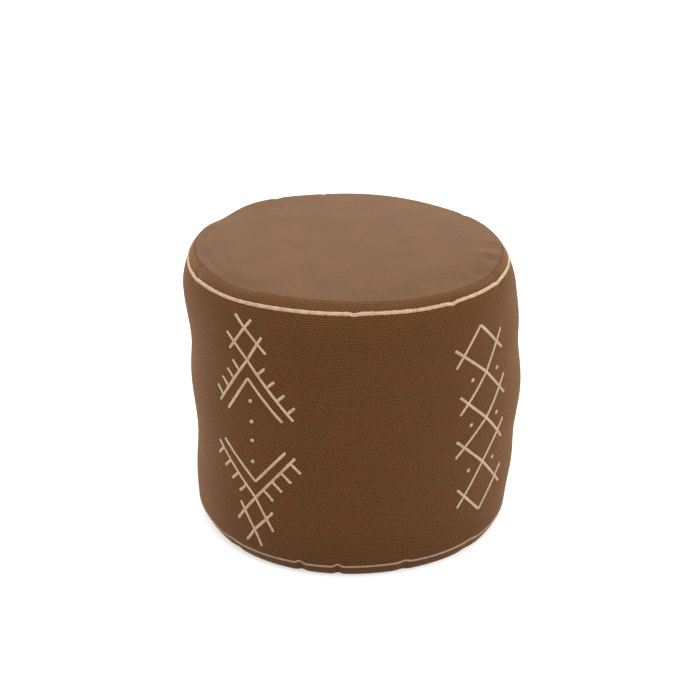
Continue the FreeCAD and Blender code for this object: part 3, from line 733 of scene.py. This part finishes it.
def make_band():
    """The band, in rows that crowd towards both its seams."""
    angles = SIDE_SEAM + np.linspace(0, TURN, BAND_COLUMNS + 1)[None, :]
    even = np.linspace(0, 1, BAND_ROWS)[:, None]
    runs = BAND_RUN * (0.55 * even + 0.45 * (0.5 - 0.5 * np.cos(math.pi * even)))
    faces = ring_faces(BAND_ROWS, BAND_COLUMNS + 1, wrap=False)
    uv = stack(angles * MEAN_RADIUS, runs)
    band = new_object("side_band_cloth", band_point(angles, runs), faces, WEAVE, uv)
    thicken(band, BAND_THICKNESS)
    finish_piece(band, "side_band")


def make_top():
    """The top, in rings that crowd towards its seam."""
    angles = np.arange(BAND_COLUMNS) * TURN / BAND_COLUMNS
    shares = 1 - (1 - np.linspace(0, 1, TOP_RINGS + 1)[:-1]) ** 0.8
    shares[1:] = np.maximum(shares[1:], 0.004)
    rings = top_point(angles[None, :], shares[:, None]).reshape(-1, 3)
    middle = len(rings)
    last = middle - BAND_COLUMNS
    faces = ring_faces(TOP_RINGS, BAND_COLUMNS).tolist()
    faces += [[last + i, last + (i + 1) % BAND_COLUMNS, middle] for i in range(BAND_COLUMNS)]
    points = np.concatenate([rings, top_point([0.0], [1.0])])
    top = new_object("top_cloth", points, faces, CANVAS, points[:, :2])
    thicken(top, TOP_THICKNESS)
    finish_piece(top, "top_panel")


# ---------------- sewing thread

SEAM_STITCHES = 400
SIDE_STITCHES = 120
SIDE_MARGIN = 0.006
STITCH_LENGTH = 0.0023
SIDE_STITCH_LENGTH = 0.0022
THREAD_RADIUS = 0.00035
STITCH_ARCH = 0.0003
ZIP_THREAD_RADIUS = 0.0003
ZIP_STITCH_ARCH = 0.0002
TUBE_SECTIONS = 7
TUBE_SIDES = 6


def thread_tubes(centres, along, up, length, radius, arch):
    """Points and faces of many short stitches, each a low arch of thread."""
    along, up = [np.broadcast_to(np.asarray(way, float), centres.shape) for way in (along, up)]
    t = np.linspace(-1, 1, TUBE_SECTIONS)
    turn = np.arange(TUBE_SIDES) * TURN / TUBE_SIDES
    side = np.cross(along, up)
    line = (centres[:, None] + along[:, None] * (t * length / 2)[None, :, None]
            + up[:, None] * (arch * (1 - t**2))[None, :, None])
    girth = radius * np.sqrt(np.clip(1 - np.abs(t) ** 5, 0.05, 1))
    ring = (side[:, None, None] * np.cos(turn)[None, None, :, None]
            + up[:, None, None] * np.sin(turn)[None, None, :, None])
    points = line[:, :, None] + ring * girth[None, :, None, None]
    body = ring_faces(TUBE_SECTIONS, TUBE_SIDES)
    size = TUBE_SECTIONS * TUBE_SIDES
    caps = [list(range(TUBE_SIDES))[::-1], list(range(size - TUBE_SIDES, size))]
    faces = []
    for start in range(0, len(centres) * size, size):
        faces += (body + start).tolist()
        faces += [[start + i for i in cap] for cap in caps]
    return points.reshape(-1, 3), faces


def make_seam_threads():
    """The stitches that show in the bottom of each seam."""
    angles = np.arange(SEAM_STITCHES) * TURN / SEAM_STITCHES
    along = np.stack([np.cos(angles), np.sin(angles), 0 * angles], axis=-1)
    for name, node, run, up, sunk in (
        ("top_seam_stitches", "top_seam_thread", BAND_RUN, (0, 0, 1), 0.0003),
        ("base_seam_stitches", "base_seam_thread", 0.0, (0, 0, -1), 0.0014),
    ):
        centres = band_point(angles, run + 0 * angles) - np.array(up) * sunk
        tubes = thread_tubes(centres, along, up, STITCH_LENGTH, THREAD_RADIUS, STITCH_ARCH)
        finish_piece(new_object(name, *tubes, BROWN_THREAD), node)
    runs = np.linspace(SIDE_MARGIN, BAND_RUN - SIDE_MARGIN, SIDE_STITCHES)
    angles = SIDE_SEAM + 0 * runs
    centres, ups = band_point(angles, runs), band_facing(angles, runs)
    along = one_long(band_point(angles, runs + 0.0005) - band_point(angles, runs - 0.0005))
    tubes = thread_tubes(centres + ups * 0.0001, along, ups, SIDE_STITCH_LENGTH, THREAD_RADIUS, STITCH_ARCH)
    finish_piece(new_object("side_seam_stitches", *tubes, BROWN_THREAD), "side_seam_thread")


# ---------------- embroidery

STROKE_WIDTH = 0.0039
STITCH_HEIGHT = 0.0010
DOT_RADIUS = 0.0028
# the section of a ribbon: how far across, in half widths, and how high, in stitch heights
RIBBON_SHAPE = np.array([-1, -0.8, -0.45, 0, 0.45, 0.8, 1, 0.75, -0.75])
RIBBON_RISE = np.array([0.0, 0.62, 0.92, 1, 0.92, 0.62, 0.0, -0.6, -0.6])
# threads lie a little askew, and vary in width and height in bundles and one by one
THREAD_SLANT = 0.18
GROOVE_HEIGHT = 0.74
BUNDLE = 6
BUNDLE_SPREAD = 0.07
WIDTH_SPREAD = 0.035
HEIGHT_SPREAD = 0.04


def satin_ribbon(angle, run, width, closed=False, lift=0.0):
    """A raised band of satin stitch along a line of places on the cloth: every second row is a thread's
    crest and the rows between are its grooves. Gives points, faces and places on the ribbon."""
    count, girth = len(angle), len(RIBBON_SHAPE)
    if closed:
        step_along = angle_apart(np.roll(angle, -1), np.roll(angle, 1))
        step_up = np.roll(run, -1) - np.roll(run, 1)
    else:
        step_along, step_up = np.gradient(angle), np.gradient(run)
    step_along = step_along * MEAN_RADIUS
    size = np.hypot(step_along, step_up)
    across, upward = -step_up / size, step_along / size
    bundle = RANDOM.normal(0, BUNDLE_SPREAD, (count // BUNDLE + 1, 2))
    bundle = 1 + np.repeat(bundle, BUNDLE, axis=0)[:count]
    half_width = width * (bundle[:, 0] + RANDOM.normal(0, WIDTH_SPREAD, count)) / 2
    crest = np.where(np.arange(count) % 2 == 0, 1.0, GROOVE_HEIGHT)
    crest = crest * (bundle[:, 1] + RANDOM.normal(0, HEIGHT_SPREAD, count))
    shape = RIBBON_SHAPE[None, :] * half_width[:, None]
    slant = shape * THREAD_SLANT
    place_angle = angle[:, None] + (across[:, None] * shape + upward[:, None] * slant) / MEAN_RADIUS
    place_run = run[:, None] + upward[:, None] * shape - across[:, None] * slant
    height = STITCH_HEIGHT * np.clip(width / STROKE_WIDTH, 0.5, 1.1)[:, None] * RIBBON_RISE[None, :]
    height = np.where(RIBBON_RISE > 0, height * crest[:, None] + lift, height)
    points = band_point(place_angle, place_run) + band_facing(place_angle, place_run) * height[..., None]
    rows = count + 1 if closed else count
    faces = (ring_faces(rows, girth)[:, ::-1] % (count * girth)).tolist()
    if not closed:
        faces += [list(range(girth)), list(range((count - 1) * girth, count * girth))[::-1]]
    along = np.concatenate([[0], np.cumsum(np.hypot(np.diff(angle) * MEAN_RADIUS, np.diff(run)))])
    return points.reshape(-1, 3), faces, stack(along[:, None], shape).reshape(-1, 2)


def join_ribbons(ribbons):
    points, faces, places = [], [], []
    start = 0
    for some_points, some_faces, some_places in ribbons:
        points.append(some_points)
        faces += [[start + i for i in face] for face in some_faces]
        places.append(some_places)
        start += len(some_points)
    return np.concatenate(points), faces, np.concatenate(places)


def stroke(centre, start, end, lift):
    """One straight stroke between two places given in millimetres from the motif's axis and the floor."""
    across = np.array([start[0], end[0]]) / 1000
    runs = run_at_height(np.array([start[1], end[1]]) / 1000)
    length = math.hypot(across[1] - across[0], runs[1] - runs[0])
    t = np.linspace(0, 1, max(8, int(2 * length / THREAD_PITCH)))
    bow = RANDOM.normal(0, 0.0005) * np.sin(math.pi * t)
    angle = centre + (across[0] + (across[1] - across[0]) * t) / MEAN_RADIUS
    run = runs[0] + (runs[1] - runs[0]) * t + bow
    from_end = np.minimum(t, 1 - t) * length
    width = STROKE_WIDTH * np.sqrt(np.clip(from_end / 0.0012, 0.2, 1))
    return satin_ribbon(angle, run, width, lift=lift)


def dot(centre, place):
    """A round satin dot, a little short of its tips."""
    t = np.linspace(-0.96, 0.96, int(4 * DOT_RADIUS / THREAD_PITCH))
    angle = centre + place[0] / 1000 / MEAN_RADIUS + t * DOT_RADIUS / MEAN_RADIUS
    run = run_at_height(place[1] / 1000) + 0 * t
    return satin_ribbon(angle, run, 2 * DOT_RADIUS * np.sqrt(1 - t**2))


def comb(first, step, tooth):
    """Four short parallel strokes at even steps along an arm."""
    roots = [(first[0] + step[0] * i, first[1] + step[1] * i) for i in range(4)]
    return [(root, (root[0] + tooth[0], root[1] + tooth[1])) for root in roots]


def chevron_motif():
    """The double chevron: a crossed diamond and two toothed arms above, nearly mirrored below. Strokes and
    dots, in millimetres from the motif's axis and the floor."""
    lines = [
        [(-22, 356), (26, 312)],
        [(4, 354), (-31, 307)],
        [(20, 334), (-2, 298), (-53, 227)],
        [(-35, 329), (-2, 298), (62, 226)],
        [(-38, 220), (-2, 273), (47, 222)],
        [(-59, 167), (3, 102), (29, 57)],
        [(63, 173), (4, 103), (-30, 60)],
        [(-47, 174), (4, 126), (50, 179)],
        [(-23, 89), (-2, 52), (9, 29)],
        [(29, 86), (-2, 52), (-17, 31)],
    ]
    strokes = [ends for line in lines for ends in zip(line, line[1:])]
    strokes += comb((-15, 280.5), (-10.4, -14.9), (-11.5, 12))
    strokes += comb((12.5, 281.5), (13.4, -15.8), (11.5, 11))
    strokes += comb((-52, 157), (13, -14), (-11, -11))
    strokes += comb((55.5, 164.5), (-13.3, -15.9), (14.5, -13))
    return strokes, [(1, 242), (2, 213), (2, 186), (1, 155)]


def lattice_motif():
    """A column of four diamonds whose sides run on past each side corner. Strokes and dots, likewise."""
    tick = 19
    left = [(-46, 298), (-36, 229), (-39, 166), (-34, 92)]
    right = [(20, 298), (29, 231), (28, 167), (35, 95)]
    middle = [(-17, 333), (-2, 263), (0, 197), (-1, 132), (-1, 59)]
    strokes = []
    for corners in (left, right):
        for i, corner in enumerate(corners):
            for inner in (middle[i], middle[i + 1]):
                reach = 1 + tick / math.hypot(corner[0] - inner[0], corner[1] - inner[1])
                end = (inner[0] + (corner[0] - inner[0]) * reach, inner[1] + (corner[1] - inner[1]) * reach)
                strokes.append((inner, end))
    return strokes, [(across, height) for across in (-29, 23) for height in (260, 196, 129)]


def make_motifs():
    """The four motifs; where strokes cross, every second one lies a little higher."""
    for node, motif, degrees in (
        ("chevron_motif_front", chevron_motif, 0),
        ("lattice_motif_right", lattice_motif, 86),
        ("chevron_motif_back", chevron_motif, 180),
        ("lattice_motif_left", lattice_motif, 266),
    ):
        strokes, dots = motif()
        centre = math.radians(degrees)
        ribbons = [stroke(centre, *ends, 0.0002 * (i % 2)) for i, ends in enumerate(strokes)]
        ribbons += [dot(centre, place) for place in dots]
        points, faces, uv = join_ribbons(ribbons)
        finish_piece(new_object(node + "_stitches", points, faces, SATIN, uv), node)


# node, height, width, and where it runs lower: angle and half width in degrees from the middle of the view,
# and sag
BORDERS = [
    ("top_border_embroidery", 0.3741, 0.0049,
     [(-58, 28, 0.0036), (-45, 11, -0.0016), (24, 17, -0.0011), (54, 16, -0.0010)]),
    ("bottom_border_embroidery", 0.0165, 0.0034, []),
]


def make_borders():
    """The two rings of satin stitch."""
    for node, height, width, sags in BORDERS:
        radius = float(np.interp(height, OUTLINE_HEIGHT, OUTLINE_RADIUS))
        count = 2 * int(radius * TURN / THREAD_PITCH)
        angle = np.arange(count) * TURN / count
        waver = 0.0005 * smooth_noise(angle, 0 * angle, 21 + int(height * 10), 16, 1)
        run = run_at_height(height) + waver - spread(angle, sags)
        points, faces, uv = satin_ribbon(angle, run, width + 0 * angle, closed=True)
        finish_piece(new_object(node + "_stitches", points, faces, SATIN, uv), node)


# ---------------- base and zip

ZIP_GROOVE_HALF_LENGTH = 0.172
ZIP_GROOVE_HALF_WIDTH = 0.022
ZIP_GROOVE_DEPTH = 0.0086
ZIP_GROOVE_SLOPE = 0.010
SLOT_HALF_LENGTH = 0.156
SLOT_HALF_WIDTH = 0.0065
SLOT_ROUND = 0.0008
BASE_COLUMNS = 150
BASE_THICKNESS = 0.0014
HEM_REACH = 0.012
ZIP_STITCH_REACH = 0.153
ZIP_STITCH_PITCH = 0.003
ZIP_STITCH_ROWS = (0.0082, 0.0106)


def groove_height(x, y, growth=0.0):
    """How high the base is drawn up round the zip."""
    inset = np.minimum(ZIP_GROOVE_HALF_LENGTH - np.abs(x), ZIP_GROOVE_HALF_WIDTH - np.abs(y)) + growth
    share = np.clip(inset / ZIP_GROOVE_SLOPE, 0, 1)
    return (ZIP_GROOVE_DEPTH + growth) * share * share * (3 - 2 * share)


def sheet_faces(rows, columns, side):
    """The faces of an open sheet, which look the same way on either side of the zip."""
    faces = ring_faces(rows, columns, wrap=False)
    return faces if side > 0 else faces[:, ::-1]


def make_base_half(end, side):
    """One half of the base: its columns run from the slot, or the middle seam, out to the hem."""
    steepest = math.radians(89)
    spread_out = np.sin(np.linspace(-steepest, steepest, BASE_COLUMNS)) * BASE_RADIUS
    slot_ends = [SLOT_HALF_LENGTH, SLOT_HALF_LENGTH + SLOT_ROUND]
    x = np.sort(np.concatenate([spread_out, slot_ends, [-place for place in slot_ends]]))[:, None]
    out = np.concatenate([np.linspace(0, 0.11, 16), np.linspace(0.11, 1, 20)[1:]])[None, :]
    rim = np.sqrt(BASE_RADIUS**2 - x**2)
    start = SLOT_HALF_WIDTH * np.clip((SLOT_HALF_LENGTH + SLOT_ROUND - np.abs(x)) / SLOT_ROUND, 0, 1)
    y = start + (rim - start) * out
    angle = np.arctan2(x, -side * y)
    pull = band_point(angle, 0 * angle) - round_drum(angle, BASE_RADIUS, 0)
    points = stack(x, side * y, 0 * y) + pull * bell(BASE_RADIUS - np.hypot(x, y), HEM_REACH)[..., None]
    points[..., 2] += groove_height(x, y)
    ripple = 0.0003 * (1 + smooth_noise(20 * x, 30 * y, 31, 6, 3)) * (1 - out**4)
    points[..., 2] += np.clip(ripple, 0, None) * (groove_height(x, y) < 0.0001)
    faces = sheet_faces(len(x), out.shape[1], side)
    half = new_object(f"base_cloth_{end}", points, faces, BASE_CLOTH, points[..., :2])
    thicken(half, BASE_THICKNESS)
    finish_piece(half, f"base_panel_{end}")


def make_zip_tape(end, side):
    """A tape, gathered a little where it meets the teeth."""
    low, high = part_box(f"zip_tape_{end}")
    inner, outer = sorted((abs(low[1]), abs(high[1])))
    x = np.linspace(low[0], high[0], 220)[:, None]
    y = np.linspace(inner, outer, 9)[None, :]
    ripple = 0.00006 * np.sin(x * TURN / 0.0029) * bell(y - inner, 0.003)
    points = stack(x, side * y, low[2] + ripple)
    faces = sheet_faces(len(x), y.shape[1], side)
    tape = new_object(f"zip_tape_{end}_woven", points, faces, TAPE, points[..., :2])
    thicken(tape, high[2] - low[2])
    finish_piece(tape, f"zip_tape_{end}")


def make_zip_stitches(end, side):
    """The two rows of stitches that hold a tape to the base."""
    places = np.arange(-ZIP_STITCH_REACH, ZIP_STITCH_REACH + ZIP_STITCH_PITCH / 30, ZIP_STITCH_PITCH)
    centres = np.concatenate([stack(places, side * across, ZIP_GROOVE_DEPTH) for across in ZIP_STITCH_ROWS])
    tubes = thread_tubes(centres, (1, 0, 0), (0, 0, -1), STITCH_LENGTH, ZIP_THREAD_RADIUS, ZIP_STITCH_ARCH)
    stitches = new_object(f"zip_stitches_{end}", *tubes, BROWN_THREAD)
    finish_piece(stitches, f"zip_stitch_{end}")


def dress(node, material):
    """Gives a CAD node its material."""
    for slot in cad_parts[node].material_slots:
        slot.material = material


def make_zip():
    for end, side in (("front", -1), ("rear", 1)):
        make_base_half(end, side)
        make_zip_tape(end, side)
        make_zip_stitches(end, side)
        dress(f"zip_chain_{end}", NYLON)
        dress(f"zip_top_stop_{end}", BRASS)
    for node in ("zip_bottom_stop", "zip_slider", "zip_puller"):
        dress(node, BRASS)


# ---------------- the bag of beads

LINER_GAP = 0.0058
BEAD_GAP = LINER_GAP + 0.0022
BAG_COLUMNS = 120
LINER_SIDE_FLAT = (1.37, 0.38)
LINER_TOP_WIDTH = 0.41
LINER_FLOOR_WIDTH = 0.40


def bag_rows(gap):
    """The rows of a shell at a gap inside the cover: floor, side and top."""
    angles = np.arange(BAG_COLUMNS)[None, :] * TURN / BAG_COLUMNS
    reach = np.linspace(0.02, 1, 46)[:, None] * (BASE_RADIUS - gap)
    floor = round_drum(angles, reach, gap * 0.5)
    floor[..., 2] = gap * 0.5 + groove_height(floor[..., 0], floor[..., 1], 0.005 + gap - LINER_GAP)
    runs = np.linspace(0.004, BAND_RUN - 0.004, 60)[:, None]
    side = band_point(angles, runs) - band_facing(angles, runs) * gap
    shares = np.linspace(0.03, 0.98, 24)[:, None]
    top = top_point(angles, shares) - np.array([0, 0, gap * 0.6])
    return floor, side, top


def disc(width):
    """The flat size and the area of a round piece of cloth."""
    return (width, width), math.pi * width**2 / 4


def make_liner_part(name, rows, node, uv, flat, area=None):
    piece = new_object(name, rows, ring_faces(len(rows), BAG_COLUMNS), LINER_CLOTH, uv)
    finish_piece(piece, node)


def make_bag():
    """The three parts of the bag, and the heap of beads inside."""
    floor, side, top = bag_rows(LINER_GAP)
    make_liner_part("liner_floor_cloth", floor, "liner_base", floor[..., :2], *disc(LINER_FLOOR_WIDTH))
    make_liner_part("liner_side_cloth", side, "liner_side", side[..., 1:], LINER_SIDE_FLAT)
    make_liner_part("liner_top_cloth", top, "liner_top", top[..., :2], *disc(LINER_TOP_WIDTH))
    rows = np.concatenate(bag_rows(BEAD_GAP))
    points = rows.reshape(-1, 3)
    points = points + RANDOM.normal(0, 0.0003, points.shape)
    faces = ring_faces(len(rows), BAG_COLUMNS).tolist()
    faces += [list(range(BAG_COLUMNS))[::-1], list(range(len(points) - BAG_COLUMNS, len(points)))]
    heap = new_object("bead_fill_heap", points, faces, BEADS)
    finish_piece(heap, "bead_fill")


make_band()
make_top()
make_seam_threads()
make_motifs()
make_borders()
make_zip()
make_bag()


# ---------------- floor, light and camera

FLOOR_HALF_WIDTH = 6.0
# the floor glows a little, so that it stays white in front of the white background
FLOOR_GLOW = 0.45
FLOOR_GREY = (0.46, 0.46, 0.46)
# the brightness of the world at its horizon and straight up
HORIZON = 0.9
ZENITH = 2.5
# name, degrees from the middle of the view, distance, height, size, watts
SOFTBOXES = [
    ("key", 40, 2.4, 2.4, 1.6, 34),
    ("over_back", 180, 0.9, 1.3, 0.8, 8),
    ("rim_right", 118, 2.0, 1.2, 1.4, 7),
    ("rim_left", -112, 2.0, 1.2, 1.4, 12),
]
LIGHTS_AIM = 0.2
CAMERA_DISTANCE = 2.14
CAMERA_HEIGHT = 1.177
CAMERA_PITCH = math.radians(23.86)
CAMERA_LENS = 87.8


def studio_floor(tree):
    """Matt white."""
    return {"Base Color": FLOOR_GREY, "Emission Color": (1, 1, 1), "Emission Strength": FLOOR_GLOW,
            "Roughness": 0.9, "Specular IOR Level": 0.1}


def make_stage():
    """A floor that is clear from below, so that the underside can be seen."""
    material = make_material("floor", studio_floor)
    tree = material.node_tree
    clear = add_node(tree, "ShaderNodeBsdfTransparent").outputs[0]
    under = add_node(tree, "ShaderNodeNewGeometry").outputs["Backfacing"]
    shaded = tree.nodes["Principled BSDF"].outputs[0]
    mix = add_node(tree, "ShaderNodeMixShader", {0: under, 1: shaded, 2: clear}).outputs[0]
    set_inputs(tree.nodes["Material Output"], {"Surface": mix})
    size = FLOOR_HALF_WIDTH
    corners = [(-size, -size, 0), (size, -size, 0), (size, size, 0), (-size, size, 0)]
    new_object("floor", corners, [(0, 1, 2, 3)], material)


def stand(name, data, degrees, distance, height, tilt):
    """Stands a light or the camera beside the pouf, turned to its axis and tilted up from straight down."""
    made = bpy.data.objects.new(name, data)
    angle = VIEW_ANGLE + math.radians(degrees)
    made.location = (distance * math.sin(angle), -distance * math.cos(angle), height)
    made.rotation_euler = (tilt, 0, angle)
    bpy.context.collection.objects.link(made)
    return made


def add_softbox(name, degrees, distance, height, size, power):
    """A square area light that faces the pouf."""
    light = bpy.data.lights.new(name, "AREA")
    light.size = size
    light.energy = power
    stand(name, light, degrees, distance, height, math.atan2(distance, height - LIGHTS_AIM))


def make_light():
    world = bpy.data.worlds.new("studio")
    world.use_nodes = True
    tree = world.node_tree
    direction = add_node(tree, "ShaderNodeTexCoord").outputs["Generated"]
    upward = add_node(tree, "ShaderNodeSeparateXYZ", {0: direction}).outputs[2]
    strength = ramp(tree, upward, 0.0, 1.0, HORIZON, ZENITH)
    set_inputs(tree.nodes["Background"], {"Color": (1, 1, 1), "Strength": strength})
    bpy.context.scene.world = world
    bpy.context.scene.view_settings.view_transform = "Standard"
    for softbox in SOFTBOXES:
        add_softbox(*softbox)


def make_camera():
    camera = bpy.data.cameras.new("camera")
    camera.lens = CAMERA_LENS
    camera.sensor_width = 36
    tilt = math.pi / 2 - CAMERA_PITCH
    bpy.context.scene.camera = stand("camera", camera, 0, CAMERA_DISTANCE, CAMERA_HEIGHT, tilt)


make_stage()
make_light()
make_camera()
